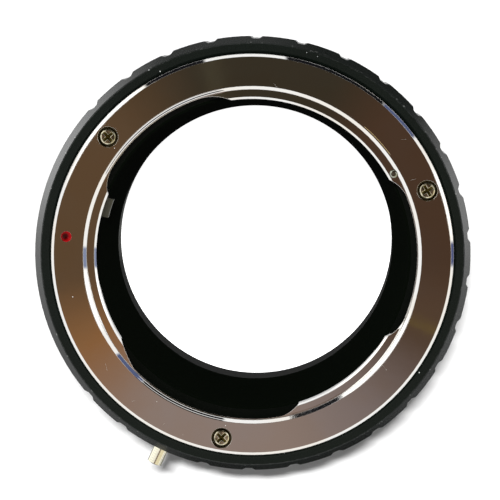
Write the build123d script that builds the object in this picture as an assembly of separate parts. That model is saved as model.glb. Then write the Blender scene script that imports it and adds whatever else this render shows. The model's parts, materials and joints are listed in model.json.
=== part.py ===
from build123d import *
import os
from math import asin, cos, degrees, radians, sin

# A lens mount adapter: a three-lug lens socket on a barrel that carries a camera bayonet.
# Millimetres and degrees. +Z is the optical axis and points at the lens.
# Z = 0 is the face that seats on the camera, and X = Y = 0 is the optical axis.
# Angles run anticlockwise from +X, as seen from the lens side.

# Length and light path
register = 25.5              # camera seat face to lens seat face
light_path_d = 41.5          # clear bore at the camera end
funnel_mouth_d = 46.0        # bore of the barrel behind the lens's lugs
funnel_end_d = 42.1          # bore of the barrel in front of the camera ring

# Lens ring, the chromed socket
lens_ring_d = 58.0
lens_ring_t = 3.0
lens_ring_proud = 0.9        # seat face above the barrel's front rim
lens_ring_bevel = 0.42
throat_d = 45.0              # across the lugs
socket_d = 47.8              # across the socket's turned wall
gap_ledge = 0.14             # left by the cutter between the milled gaps and that wall
socket_bevel_w = 0.45
socket_bevel_depth = 0.42
lug_drop = 0.7               # lug faces below the seat face
lug_t = 1.6
lug_bevel_w = 0.3
lug_bevel_depth = 0.25
lens_lugs = (                # both ends of each lug: angle at the throat, angle at the gap's wall, radius
    ((28.9, 21.1, 4.6), (97.7, 108.4, 6.5)),
    ((157.5, 146.6, 5.5), (212.7, 223.8, 17.7)),
    ((287.4, 279.0, 4.6), (328.2, 337.4, 4.9)),
)

# Screws of the lens ring, with heads in counterbores
lens_screw_angles = (20.5, 140.5, 260.5)
lens_screw_turns = (10.0, 80.0, 55.0)    # how far each was driven, as its cross shows
lens_screw_pcd = 53.65
screw_thread_d = 1.6
lens_screw_length = 6.0      # under the head
lens_head_d = 2.4
lens_head_t = 1.0
lens_head_edge_r = 0.28
lens_head_sunk = 0.1         # top of the head below the seat face
lens_counterbore_d = 2.85
lens_counterbore_bevel = 0.08
screw_hole_room = 0.1        # around a thread where it passes through a ring
thread_room = 0.02           # around a thread or pressed pin in its hole
tap_run_out = 0.4            # tapped hole past the end of its screw
cross_l = 1.75               # cross recess of every screw
cross_w = 0.42
cross_depth = 0.8            # in the middle
cross_end_depth = 0.25       # at the ends of its arms

# Red mark on the lens ring, and the mark on the barrel for the camera side
index_d = 1.55
index_depth = 0.35
index_cone_depth = 0.45
lens_index_angle = 174.25
lens_index_circle_d = 53.8
camera_index_angle = 120.0
camera_index_z = 3.2
paint_sunk = 0.06            # edge of the paint below the metal
paint_dish = 0.45            # middle of the paint below its edge

# Stop pin in the first lug
stop_pin_angle = 30.1
stop_pin_d = 1.1
stop_pin_wall_gap = 0.45     # pin centre in from the socket wall
stop_pin_proud = 0.4         # above the lug face
stop_pin_edge_r = 0.2
stop_pin_reach = 2.0         # below the lug

# Barrel
rim_d = 61.15
rim_bevel = 0.15
lip_bevel = 0.35             # inner edge of the rim, round the lens ring
ring_room = 0.1              # around each chromed ring in its counterbore
cavity_room = 0.3            # barrel bore outside the socket wall
cavity_depth = 2.0           # room for the lens's lugs below the ring's seat
grip_d = 63.0
grip_setback = 2.7           # front edge of the grip below the lens seat face
grip_w = 8.0
grip_taper = 0.15            # front edge of the grip down to its back edge
neck_step = 1.0              # grip down to the barrel just behind it
rear_step = 1.8              # grip down to the barrel's rear end
rear_straight = 5.0
rear_bevel = 0.5
notch_pitch = 12.0
notch_phase = 5.0
notch_depth = 0.36
notch_mouth_w = 2.0
notch_floor_w = 0.9
plain_arc = (142.0, 215.0)   # stretch of the grip that has no notches

# Lens lock: a rocking lever in a pocket under the lens ring
pocket_wall = 0.9            # between the lens cavity and the pocket
pocket_depth = 3.8           # below the ring's seat
pocket_end_room = 4.6        # degrees past either end of the lever
pocket_corner_r = 0.8
lever_t = 2.0
lever_arm_w = 1.3
lever_swing_room = 1.2       # arm to the pocket's outer wall
lever_stop_gap = 0.3         # tail pad to the pocket's outer wall
lever_floor_gap = 0.3
nose_angle = 162.75
nose_span = 7.3
nose_tip_d = 43.25
nose_room_deg = 2.5
tail_span = 10.5
pivot_angle = 205.0
pivot_d = 1.8
pivot_thread_d = 1.4
pivot_thread_length = 2.6
pivot_head_d = 2.9
pivot_head_t = 0.7
pivot_room = 0.05            # lever hole around the shoulder, and play under the head
eye_wall = 0.75
swing_deg = 3.2              # travel of the lever

# Release pin in the lever's tail
pin_angle = 245.0
pin_d = 2.2
pin_proud = 2.85             # out of the grip
pin_dome = 0.25
pin_stud_d = 1.1
pin_stud_l = 1.4
pin_hole_room = 0.15

# Return spring between the lever and the barrel's wall
spring_from_nose = 15.25
spring_d = 1.7
spring_wire_d = 0.26
spring_pitch = 0.8
spring_hole_d = 2.0
spring_hole_depth = 1.4
spring_end_gap = 0.02

# Camera ring, the chromed male bayonet
camera_ring_d = 55.2
camera_ring_t = 2.0
camera_ring_proud = 0.5      # seat face beyond the barrel's rear rim
camera_ring_bevel = 0.3
boss_d = 43.6
boss_l = 5.5
boss_bevel = 0.3
camera_lug_d = 46.0
camera_lug_t = 1.6
camera_lug_setback = 2.8     # seat face to the lugs
camera_lug_start = 10.0
camera_lug_arc = 58.0
camera_lug_count = 3
camera_screw_angles = (35.0, 125.0, 215.0, 305.0)
camera_screw_pcd = 49.8
camera_screw_length = 6.0
camera_head_d = 2.8
camera_head_sunk = 0.08
lock_slot_angle = 350.0
lock_slot_w = 2.4
lock_slot_l = 3.6
lock_slot_depth = 1.3

# Levels and radii that follow from the sizes above
lens_ring_r = lens_ring_d / 2
socket_r = socket_d / 2
throat_r = throat_d / 2
gap_r = socket_r - gap_ledge
ring_seat_z = register - lens_ring_t
rim_z = register - lens_ring_proud
lug_face_z = register - lug_drop
lug_back_z = lug_face_z - lug_t
cavity_r = socket_r + cavity_room
cavity_floor_z = ring_seat_z - cavity_depth
grip_r = grip_d / 2
grip_front_z = register - grip_setback
grip_back_z = grip_front_z - grip_w
neck_r = grip_r - neck_step
rear_r = grip_r - rear_step
lens_screw_r = lens_screw_pcd / 2
lens_head_z = register - lens_head_sunk
pocket_in_r = cavity_r + pocket_wall
pocket_out_r = lens_ring_r
nose_arc = (nose_angle - nose_span / 2, nose_angle + nose_span / 2)
tail_arc = (pin_angle - tail_span / 2, pin_angle + tail_span / 2)
pocket_arc = (nose_arc[0] - pocket_end_room, tail_arc[1] + pocket_end_room)
spring_angle = nose_angle + spring_from_nose
pocket_floor_z = ring_seat_z - pocket_depth
lever_bottom_z = pocket_floor_z + lever_floor_gap
lever_mid_z = lever_bottom_z + lever_t / 2
arm_out_r = pocket_out_r - lever_swing_room
arm_in_r = arm_out_r - lever_arm_w
tail_out_r = pocket_out_r - lever_stop_gap
pivot_r = (pocket_in_r + pocket_out_r) / 2
pivot_boss_z = lever_bottom_z - pivot_room
eye_d = pivot_d + 2 * (pivot_room + eye_wall)
camera_screw_r = camera_screw_pcd / 2
rear_rim_z = camera_ring_proud
camera_ring_r = camera_ring_d / 2
cut_over = 1.0               # how far a cutter runs past the face that it enters
full_turn = 360


def polar(radius, angle):
    """Point at a radius and angle from the optical axis."""
    return (radius * cos(radians(angle)), radius * sin(radians(angle)))


def turned(*corners):
    """Solid turned about Z from the (radius, z) corners of its section."""
    return revolve(Plane.XZ * make_face(Polyline(*corners, close=True)), Axis.Z)


def ring_sector(inner_r, outer_r, start, end):
    """Flat face between two radii and two angles."""
    middle = (start + end) / 2
    outer = ThreePointArc(polar(outer_r, start), polar(outer_r, middle), polar(outer_r, end))
    inner = ThreePointArc(polar(inner_r, end), polar(inner_r, middle), polar(inner_r, start))
    return make_face([outer, Line(outer @ 1, inner @ 0), inner, Line(inner @ 1, outer @ 0)])


def slab(face, low_z, high_z):
    """Flat face made solid between two levels."""
    return extrude(Pos(0, 0, low_z) * face, high_z - low_z)


def drill(diameter, low_z, high_z):
    """Cylinder about Z between two levels."""
    return slab(Circle(diameter / 2), low_z, high_z)


def placed(piece, radius, angle):
    """Piece made on the Z axis, moved out to a radius and turned to an angle."""
    return Rot(0, 0, angle) * Pos(radius, 0, 0) * piece


def pointing_out(piece, angle, z):
    """Piece made along +Z, turned to point straight out from the optical axis at a level."""
    return Rot(0, 0, angle) * Pos(0, 0, z) * Rot(0, 90, 0) * piece


def dome_arc(radius, height, top):
    """Arc from the edge of a domed end to its middle."""
    dome_r = (radius ** 2 + height ** 2) / (2 * height)
    dome_deg = degrees(asin(radius / dome_r))
    return CenterArc((0, top - dome_r), dome_r, 90 - dome_deg, dome_deg)


def rounded_end(diameter, low_z, high_z, edge_r):
    """Cylinder about Z between two levels, with its upper edge rounded."""
    upper_edge = drill(diameter, low_z, high_z).edges().sort_by(Axis.Z)[-1]
    return fillet(upper_edge, edge_r)


def cross_recess(top_z):
    """Cutter for the cross recess of a screw whose head ends at a level, deepest in the middle."""
    cross = Rectangle(cross_l, cross_w) + Rectangle(cross_w, cross_l)
    point = turned((0, top_z - cross_depth), (cross_l / 2, top_z - cross_end_depth),
                   (cross_l / 2, top_z + cut_over), (0, top_z + cut_over))
    return slab(cross, top_z - cross_depth, top_z + cut_over) & point


def gap_outline(first, last):
    """Outline of one gap between lens lugs: the lug end where it starts and the one where it ends."""
    wall = ThreePointArc(*(polar(gap_r, angle) for angle in (first[1], (first[1] + last[1]) / 2, last[1])))
    last_cut = RadiusArc(wall @ 1, polar(throat_r, last[0]), -last[2])
    first_cut = RadiusArc(polar(throat_r, first[0]), wall @ 0, -first[2])
    inside = Polyline(last_cut @ 1, polar(throat_r - cut_over, last[0]), polar(throat_r - cut_over, first[0]),
                      first_cut @ 0)
    return make_face([wall, last_cut, *inside.edges(), first_cut])


def lens_gap_cutters():
    """Cutters for the gaps between the lens lugs."""
    cutters = []
    for lug, next_lug in zip(lens_lugs, lens_lugs[1:] + lens_lugs[:1]):
        first, last = lug[1], next_lug[0]
        if last[1] < first[1]:
            last = (last[0] + full_turn, last[1] + full_turn, last[2])
        cutters.append(slab(gap_outline(first, last), ring_seat_z - cut_over, register + cut_over))
    return cutters


def index_dimple():
    """Cutter for a drilled mark whose metal face is at z = 0 and faces up."""
    return turned((0, -index_depth - index_cone_depth), (index_d / 2, -index_depth), (index_d / 2, cut_over),
                  (0, cut_over))


def index_paint():
    """Paint that fills a drilled mark, hollow in the middle."""
    radius = index_d / 2 - thread_room
    return turned((0, -index_depth - index_cone_depth + thread_room), (radius, -index_depth + thread_room),
                  (radius, -paint_sunk), (0, -paint_sunk - paint_dish))


def lens_mount_ring():
    ring = turned(
        (socket_r, ring_seat_z), (lens_ring_r, ring_seat_z), (lens_ring_r, register - lens_ring_bevel),
        (lens_ring_r - lens_ring_bevel, register), (socket_r + socket_bevel_w, register),
        (socket_r, register - socket_bevel_depth), (socket_r, lug_face_z),
        (throat_r + lug_bevel_w, lug_face_z), (throat_r, lug_face_z - lug_bevel_depth),
        (throat_r, lug_back_z), (socket_r, lug_back_z))
    through = drill(screw_thread_d + 2 * screw_hole_room, ring_seat_z - cut_over, register)
    counterbore_r = lens_counterbore_d / 2
    counterbore = turned(
        (0, lens_head_z - lens_head_t), (counterbore_r, lens_head_z - lens_head_t),
        (counterbore_r, register - lens_counterbore_bevel),
        (counterbore_r + lens_counterbore_bevel, register), (0, register))
    cutters = lens_gap_cutters()
    for angle in lens_screw_angles:
        cutters += [placed(tool, lens_screw_r, angle) for tool in (through, counterbore)]
    cutters.append(placed(Pos(0, 0, register) * index_dimple(), lens_index_circle_d / 2, lens_index_angle))
    pin_hole = drill(stop_pin_d + 2 * thread_room, lug_back_z - cut_over, register + cut_over)
    cutters.append(placed(pin_hole, socket_r - stop_pin_wall_gap, stop_pin_angle))
    return ring - cutters


def lens_mount_screws():
    head_bottom = lens_head_z - lens_head_t
    head = rounded_end(lens_head_d, head_bottom, lens_head_z, lens_head_edge_r)
    screw = head + drill(screw_thread_d, head_bottom - lens_screw_length, head_bottom)
    screw = screw - cross_recess(lens_head_z)
    driven = [(Rot(0, 0, turn) * screw, angle) for turn, angle in zip(lens_screw_turns, lens_screw_angles)]
    return Compound([placed(piece, lens_screw_r, angle).solid() for piece, angle in driven])


def lens_index_dot():
    return placed(Pos(0, 0, register) * index_paint(), lens_index_circle_d / 2, lens_index_angle)


def stop_pin():
    top_z = lug_face_z + stop_pin_proud
    pin = rounded_end(stop_pin_d, lug_back_z - stop_pin_reach, top_z, stop_pin_edge_r)
    return placed(pin, socket_r - stop_pin_wall_gap, stop_pin_angle)


def barrel_blank():
    """The barrel as it leaves the lathe."""
    lens_bore_r = lens_ring_r + ring_room
    camera_bore_r = camera_ring_r + ring_room
    return turned(
        (camera_bore_r, rear_rim_z), (rear_r - rear_bevel, rear_rim_z), (rear_r, rear_rim_z + rear_bevel),
        (rear_r, rear_straight), (neck_r, grip_back_z - neck_step), (grip_r - grip_taper, grip_back_z),
        (grip_r, grip_front_z), (rim_d / 2, rim_z - rim_bevel), (rim_d / 2 - rim_bevel, rim_z),
        (lens_bore_r + lip_bevel, rim_z), (lens_bore_r, rim_z - lip_bevel), (lens_bore_r, ring_seat_z),
        (cavity_r, ring_seat_z), (cavity_r, cavity_floor_z), (funnel_mouth_d / 2, cavity_floor_z),
        (funnel_end_d / 2, camera_ring_t), (camera_bore_r, camera_ring_t))


def grip_notches():
    """Cutters for the notches along the grip, left out on the plain arc and at the release pin."""
    floor_r = grip_r - notch_depth
    outer_r = grip_r + notch_depth
    flare = notch_mouth_w - notch_floor_w
    outer_half = notch_floor_w / 2 + flare
    section = Polyline((floor_r, -notch_floor_w / 2), (outer_r, -outer_half), (outer_r, outer_half),
                       (floor_r, notch_floor_w / 2), close=True)
    notch = slab(make_face(section), grip_back_z - cut_over, register)
    cutters = []
    for step in range(int(full_turn / notch_pitch)):
        angle = notch_phase + step * notch_pitch
        on_plain_arc = plain_arc[0] < angle < plain_arc[1]
        at_pin = abs(angle - pin_angle) < notch_pitch / 2
        if not on_plain_arc and not at_pin:
            cutters.append(Rot(0, 0, angle) * notch)
    return cutters


def lock_pocket():
    """Cutters for the lever's pocket, its window for the nose and the spring's and pin's holes."""
    floor = fillet(ring_sector(pocket_in_r, pocket_out_r, *pocket_arc).vertices(), pocket_corner_r)
    pocket = slab(floor, pocket_floor_z, ring_seat_z + cut_over)
    boss = drill(eye_d, pocket_floor_z, pivot_boss_z)
    pocket = pocket - placed(boss, pivot_r, pivot_angle)
    window_arc = (nose_arc[0] - nose_room_deg, nose_arc[1] + nose_room_deg)
    window = slab(ring_sector(nose_tip_d / 2 - cut_over, pocket_in_r + pocket_wall / 2, *window_arc),
                  pocket_floor_z, ring_seat_z + cut_over)
    spring_hole = drill(spring_hole_d, arm_out_r, pocket_out_r + spring_hole_depth)
    side_travel = radians(swing_deg) * (grip_r - pivot_r * cos(radians(pin_angle - pivot_angle)))
    pin_slot = SlotOverall(pin_d + side_travel + 2 * pin_hole_room, pin_d + 2 * pin_hole_room, rotation=90)
    pin_slot = slab(Pos(0, side_travel / 2) * pin_slot, tail_out_r, grip_r + cut_over)
    return [pocket, window, pointing_out(spring_hole, spring_angle, lever_mid_z),
            pointing_out(pin_slot, pin_angle, lever_mid_z)]


def main_body():
    tap_d = screw_thread_d + 2 * thread_room
    lens_screw_end = lens_head_z - lens_head_t - lens_screw_length
    lens_thread = drill(tap_d, lens_screw_end - tap_run_out, ring_seat_z + cut_over)
    camera_thread = drill(tap_d, camera_ring_t - cut_over, camera_screw_length + tap_run_out)
    pivot_screw_end = pivot_boss_z - pivot_thread_length
    pivot_thread = drill(pivot_thread_d + 2 * thread_room, pivot_screw_end - tap_run_out, ring_seat_z)
    cutters = grip_notches() + lock_pocket()
    cutters += [placed(lens_thread, lens_screw_r, angle) for angle in lens_screw_angles]
    cutters += [placed(camera_thread, camera_screw_r, angle) for angle in camera_screw_angles]
    cutters.append(placed(pivot_thread, pivot_r, pivot_angle))
    cutters.append(pointing_out(Pos(0, 0, rear_r) * index_dimple(), camera_index_angle, camera_index_z))
    return barrel_blank() - cutters


def lock_lever():
    arm = ring_sector(arm_in_r, arm_out_r, nose_arc[0], tail_arc[1])
    nose = ring_sector(nose_tip_d / 2, arm_out_r, *nose_arc)
    tail = ring_sector(arm_in_r, tail_out_r, *tail_arc)
    eye = Pos(*polar(pivot_r, pivot_angle)) * Circle(eye_d / 2)
    eye_hole = Pos(*polar(pivot_r, pivot_angle)) * Circle(pivot_d / 2 + pivot_room)
    plate = slab(arm + nose + tail + eye - eye_hole, lever_bottom_z, lever_bottom_z + lever_t)
    stud_hole = drill(pin_stud_d + 2 * thread_room, tail_out_r - pin_stud_l, tail_out_r + cut_over)
    return plate - pointing_out(stud_hole, pin_angle, lever_mid_z)


def release_pin():
    tip_r = grip_r + pin_proud
    pin_r = pin_d / 2
    stud_r = pin_stud_d / 2
    stud_end = tail_out_r - pin_stud_l + thread_room
    outline = Polyline((0, tip_r), (0, stud_end), (stud_r, stud_end), (stud_r, tail_out_r),
                       (pin_r, tail_out_r), (pin_r, tip_r - pin_dome))
    pin = revolve(Plane.XZ * make_face([*outline.edges(), dome_arc(pin_r, pin_dome, tip_r)]), Axis.Z)
    return pointing_out(pin, pin_angle, lever_mid_z)


def lock_pivot_screw():
    shoulder_top = lever_bottom_z + lever_t + pivot_room
    head_top = shoulder_top + pivot_head_t
    screw = turned((0, pivot_boss_z - pivot_thread_length),
                   (pivot_thread_d / 2, pivot_boss_z - pivot_thread_length),
                   (pivot_thread_d / 2, pivot_boss_z), (pivot_d / 2, pivot_boss_z),
                   (pivot_d / 2, shoulder_top), (pivot_head_d / 2, shoulder_top),
                   (pivot_head_d / 2, head_top), (0, head_top))
    slot = slab(Rectangle(pivot_head_d + cut_over, cross_w), head_top - pivot_head_t / 2, head_top + cut_over)
    return placed(screw - slot, pivot_r, pivot_angle)


def lock_spring():
    low = arm_out_r + spring_end_gap + spring_wire_d / 2
    high = pocket_out_r + spring_hole_depth - spring_end_gap - spring_wire_d / 2
    path = Pos(0, 0, low) * Helix(spring_pitch, high - low, (spring_d - spring_wire_d) / 2)
    wire = Plane(path @ 0, z_dir=path % 0) * Circle(spring_wire_d / 2)
    return pointing_out(sweep(wire, path, is_frenet=True), spring_angle, lever_mid_z)


def camera_mount_ring():
    bore_r = light_path_d / 2
    boss_r = boss_d / 2
    ring = turned(
        (bore_r, camera_ring_t), (bore_r, -boss_l), (boss_r - boss_bevel, -boss_l),
        (boss_r, -boss_l + boss_bevel), (boss_r, 0), (camera_ring_r - camera_ring_bevel, 0),
        (camera_ring_r, camera_ring_bevel), (camera_ring_r, camera_ring_t))
    for step in range(camera_lug_count):
        start = camera_lug_start + step * full_turn / camera_lug_count
        face = ring_sector((bore_r + boss_r) / 2, camera_lug_d / 2, start, start + camera_lug_arc)
        ring = ring + slab(face, -camera_lug_setback - camera_lug_t, -camera_lug_setback)
    through = drill(screw_thread_d + 2 * screw_hole_room, -cut_over, camera_ring_t + cut_over)
    sink_r = camera_head_d / 2 + camera_head_sunk
    sink = turned((0, sink_r), (sink_r, 0), (sink_r, -cut_over), (0, -cut_over))
    cutters = []
    for angle in camera_screw_angles:
        cutters += [placed(tool, camera_screw_r, angle) for tool in (through, sink)]
    slot = slab(SlotOverall(lock_slot_l, lock_slot_w, rotation=90), -cut_over, lock_slot_depth)
    cutters.append(placed(slot, camera_screw_r, lock_slot_angle))
    return ring - cutters


def camera_mount_screws():
    head_r = camera_head_d / 2
    thread_r = screw_thread_d / 2
    neck_z = camera_head_sunk + head_r - thread_r
    screw = turned((0, camera_head_sunk), (head_r, camera_head_sunk), (thread_r, neck_z),
                   (thread_r, camera_screw_length), (0, camera_screw_length))
    recess = Pos(0, 0, camera_head_sunk) * Rot(180, 0, 0) * cross_recess(0)
    screw = screw - recess
    return Compound([placed(screw, camera_screw_r, angle).solid() for angle in camera_screw_angles])


def camera_index_dot():
    return pointing_out(Pos(0, 0, rear_r) * index_paint(), camera_index_angle, camera_index_z)


pieces = (main_body, lens_mount_ring, lens_mount_screws, lens_index_dot, stop_pin, lock_lever, release_pin,
          lock_pivot_screw, lock_spring, camera_mount_ring, camera_mount_screws, camera_index_dot)

os.makedirs("parts", exist_ok=True)
for make_piece in pieces:
    export_step(make_piece(), f"parts/{make_piece.__name__}.step")
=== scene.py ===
"""Looks of the lens mount adapter: the finish of each piece, a pale stage and the camera."""

import json
import math
from functools import reduce

import bpy
from bpy.props import FloatProperty, FloatVectorProperty, PointerProperty
from mathutils import Matrix, Vector


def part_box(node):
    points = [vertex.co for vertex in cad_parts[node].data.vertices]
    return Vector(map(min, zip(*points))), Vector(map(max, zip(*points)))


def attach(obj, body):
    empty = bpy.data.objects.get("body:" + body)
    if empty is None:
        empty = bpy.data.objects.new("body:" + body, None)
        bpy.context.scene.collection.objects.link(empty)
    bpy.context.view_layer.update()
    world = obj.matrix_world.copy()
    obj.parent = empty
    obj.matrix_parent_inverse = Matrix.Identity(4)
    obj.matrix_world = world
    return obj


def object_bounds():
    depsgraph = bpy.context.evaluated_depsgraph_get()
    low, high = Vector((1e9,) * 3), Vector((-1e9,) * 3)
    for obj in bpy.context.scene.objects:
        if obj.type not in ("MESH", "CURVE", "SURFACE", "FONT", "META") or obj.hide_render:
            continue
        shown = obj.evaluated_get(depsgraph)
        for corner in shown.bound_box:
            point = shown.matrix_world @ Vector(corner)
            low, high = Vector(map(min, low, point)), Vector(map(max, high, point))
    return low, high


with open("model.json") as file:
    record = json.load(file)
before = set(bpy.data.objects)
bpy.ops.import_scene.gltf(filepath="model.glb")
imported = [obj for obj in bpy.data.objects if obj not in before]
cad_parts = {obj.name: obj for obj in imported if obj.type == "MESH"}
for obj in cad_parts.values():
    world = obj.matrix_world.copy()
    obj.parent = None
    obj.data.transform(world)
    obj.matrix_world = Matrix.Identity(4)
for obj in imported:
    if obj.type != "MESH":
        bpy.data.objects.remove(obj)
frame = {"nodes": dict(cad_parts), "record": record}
cad_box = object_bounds()

bl_info = {
    "name": "Lens mount adapter",
    "version": (1, 0, 0),
    "blender": (4, 5, 0),
    "location": "View3D > Sidebar > Adapter",
    "description": "Finishes, stage and camera for a lens mount adapter",
    "category": "Object",
}

MM = 0.001

# Places read from the frame, in metres
ring_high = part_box("lens_mount_ring")[1]
rim_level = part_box("main_body")[1].z
camera_ring_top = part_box("camera_mount_ring")[1].z
lens_head_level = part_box("lens_mount_screws")[1].z
camera_head_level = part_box("camera_mount_screws")[0].z
lens_face = ring_high.z
ring_radius = ring_high.x
floor_level = cad_box[0].z
light_path = next(mount for mount in frame["record"]["mounts"] if mount["name"] == "light_path")
bore_radius = light_path["dims"]["r_mm"] * MM

# Opening in the bore's grooves that the lock's nose moves in, and how finely they are turned and shaded
NOSE_WINDOW = (4.0 * MM, 5.2 * MM, 4.0 * MM)
GROOVE_SEGMENTS = 144
SMOOTH_ANGLE = math.radians(25.0)

# Specular levels of the black finishes and the index paint, where one half is plain plastic
ANODISED_SPECULAR = 0.22
MATT_SPECULAR = 0.06
PAINT_SPECULAR = 0.08

# Screws and index mark in the seat face, where painted shade and the index paint go
SCREW_CIRCLE = 26.825 * MM
SCREW_ANGLES = (20.5, 140.5, 260.5)
HOLE_REACH = 1.68 * MM
INDEX_CIRCLE = 26.9 * MM
INDEX_ANGLE = 174.25
INDEX_REACH = 0.79 * MM

# Centre of the painted shade in the index paint, off the middle of its mark on the seat face, as if lit from
# one side
INDEX_SHADE_SPOT = Vector((-0.2, 0.02, -0.4)) * MM

# Golden arcs painted on the seat face: radius in millimetres, first and last angle
GOLDEN_SEAT_ARCS = ((24.57, 36.3, 49.2),)

# Radii of the lens ring's inner bevel, and one that parts it from the outer bevel, in millimetres
INNER_BEVEL = (23.7, 24.4)
BEVEL_DIVIDE = 26.0

# Arcs of the lens ring's bevels, as first and last angle
LINED_ARCS = ((100.0, 150.0), (-134.0, -98.0))
GRAINY_ARCS = ((-77.0, -57.0),)
OUTER_ROUND_ARCS = ((6.0, 24.0), (126.0, 160.0))
INNER_ROUND_ARCS = ((-174.0, -152.0), (-54.0, -18.0))

# Arcs of the camera ring's bore where its black paint is given a lighter grey
LIGHTER_BORE_ARCS = ((161.0, 192.0), (-192.0, -174.0))

# What the polished bevels mirror, as first and last azimuth and lowest and highest elevation in degrees
DARK_GAPS = ((46.8, 80.6, -90.0, 17.0), (106.0, 125.8, -90.0, 14.0))
BLUE_GAPS = ((33.0, 46.8, -90.0, 17.0),)
PALE_GAPS = ((-7.8, -0.4, 1.7, 20.0),)
LOW_GAPS = ((-7.7, -0.9, -90.0, 1.7),)
GREY_GAPS = ((-81.0, -28.0, -90.0, 4.5),)
GAP_SOFT = 0.8
WINDOWS = ((2.0, 20.0), (128.0, 163.0))
DARK_SIDE = (38.0, 128.0)
WARM_SIDE = (-75.0, -5.0)

# Bearings of the ceiling's colours about the middle of the seat face's reflection
CEILING_BEARINGS = (
    ("ceiling_left", -180.0), ("ceiling_left", -172.0), ("ceiling_warm", -151.0), ("ceiling_low", -122.0),
    ("ceiling_low", -80.0), ("ceiling_dusk", -52.0), ("ceiling_brown", -27.0), ("ceiling_brown", -23.7),
    ("ceiling_gold", -22.2), ("ceiling_brown", -20.8), ("ceiling_brown", -15.0), ("ceiling_right", -2.0),
    ("ceiling_right", 46.0), ("ceiling_top", 64.0), ("ceiling_top", 98.0), ("ceiling_olive", 102.0),
    ("ceiling_top", 107.0), ("ceiling_left", 136.0), ("ceiling_left", 180.0),
)

# Bearings of the cards that lie round the adapter, and the ring of the floor that they fill, in metres
CARD_BEARINGS = (
    ("card_side", -180.0), ("card_low", -162.0), ("card_far", -128.0), ("card_dark", -105.0),
    ("card_dark", -62.0), ("card_far", -38.0), ("card_low", -14.0), ("card_right", 6.0),
    ("card_right", 18.0), ("card_dark", 40.0), ("card_dark", 72.0), ("card_far", 88.0),
    ("card_far", 118.0), ("card_left", 148.0), ("card_left", 161.0), ("card_side", 180.0),
)
CARD_RING = (0.050, 0.110)
CARD_SOFT = 0.008

# Where the far part of the floor starts, in metres
FAR_FLOOR = (0.30, 0.40)


def colour(name, description, default):
    """A colour that a user may change."""
    return FloatVectorProperty(
        name=name, description=description, default=default, size=3, min=0.0, max=1.0, subtype="COLOR"
    )


def length(name, description, default):
    """A size in metres that a user may change."""
    return FloatProperty(
        name=name, description=description, default=default, min=0.0, precision=5, unit="LENGTH"
    )


def strength(name, description, default):
    """A brightness that a user may change."""
    return FloatProperty(name=name, description=description, default=default, min=0.0, max=10.0)


def share(name, description, default):
    """A part of one that a user may change."""
    return FloatProperty(
        name=name, description=description, default=default, min=0.0, max=1.0, subtype="FACTOR"
    )


class AdapterBarrelSettings(bpy.types.PropertyGroup):
    """Black anodised barrel and its bore."""

    anodised: colour("Anodised black", "Colour of the outer faces", (0.0030, 0.0046, 0.0036))
    bare_metal: colour("Bare metal", "Aluminium where the black has worn off", (0.36, 0.37, 0.35))
    dust: colour("Dust", "Colour of the dust specks", (0.60, 0.62, 0.60))
    gloss: share("Roughness", "Roughness of the anodised faces", 0.27)
    wear: share("Rim wear", "Share of the rim's edge that is worn bright", 0.2)
    rim_radius: length("Rim edge", "Radius of the edge between rim and cone", 30.57 * MM)
    wear_width: length("Wear width", "Width of the worn line on that edge", 0.16 * MM)
    bore: colour("Bore black", "Colour of the matt bore", (0.0007, 0.0012, 0.0006))
    groove_pitch: length("Groove pitch", "Distance between the anti-glare grooves", 0.8 * MM)
    groove_depth: length("Groove depth", "Tips of the grooves' ridges off the funnel's wall", 0.36 * MM)
    groove_root: length("Groove root", "Roots of the grooves off the funnel's wall", 0.06 * MM)
    groove_room: length("Groove room", "Gap behind the grooves", 0.02 * MM)
    funnel_top: length("Funnel top", "Level of the funnel's wide end", lens_face - 5.1 * MM)
    funnel_end: length("Funnel end", "Level of the funnel's narrow end", camera_ring_top + 0.1 * MM)
    funnel_mouth_radius: length("Funnel mouth", "Radius of the funnel's wide end", 23.0 * MM)
    funnel_end_radius: length("Funnel end radius", "Radius of the funnel's narrow end", 21.05 * MM)
    nose_angle: FloatProperty(
        name="Nose angle", description="Where the lock's nose comes through the funnel's wall",
        default=math.radians(162.75), subtype="ANGLE"
    )


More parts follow.
